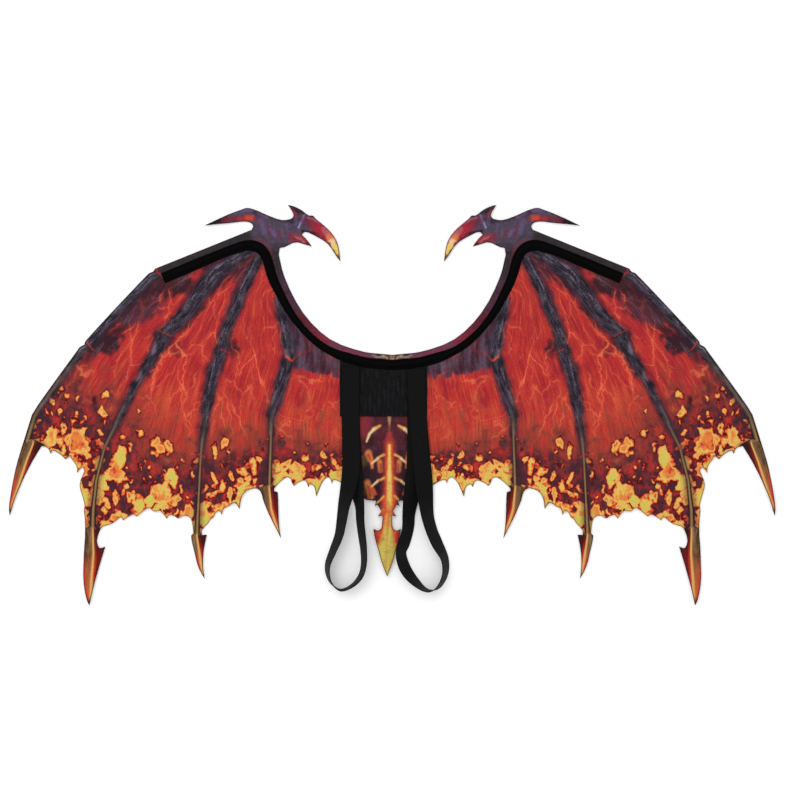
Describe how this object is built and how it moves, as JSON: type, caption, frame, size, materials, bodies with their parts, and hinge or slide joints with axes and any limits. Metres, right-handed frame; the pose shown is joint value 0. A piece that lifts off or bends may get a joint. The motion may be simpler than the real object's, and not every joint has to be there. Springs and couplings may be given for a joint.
{
  "type": "costume dragon wings",
  "caption": "Flat felt costume wings in the shape of a horned dragon's spread wings, with a wired neck and arm casing, a back patch and elastic shoulder loops.",
  "frame": {"origin": "middle of the outline across and along the wings, on the surface the wings lie on", "axes": "+X across the wings to the picture's right, +Y from the tail up to the heads, +Z out of the strap side, away from the surface"},
  "size_m": [1.052, 0.55, 0.0257],
  "materials": {
    "printed_felt": "matt printed felt, red skin, dark bones and a burnt, glowing hem",
    "black_tape": "deep black sewn tape over a wire",
    "black_cloth": "matt black woven cloth",
    "black_elastic": "ribbed black elastic with a slight sheen"
  },
  "bodies": {
    "root": {"wing_panel": "printed_felt", "wire_casing": "black_tape", "back_patch": "black_cloth", "strap_left": "black_elastic", "strap_right": "black_elastic"}
  },
  "joints": []
}
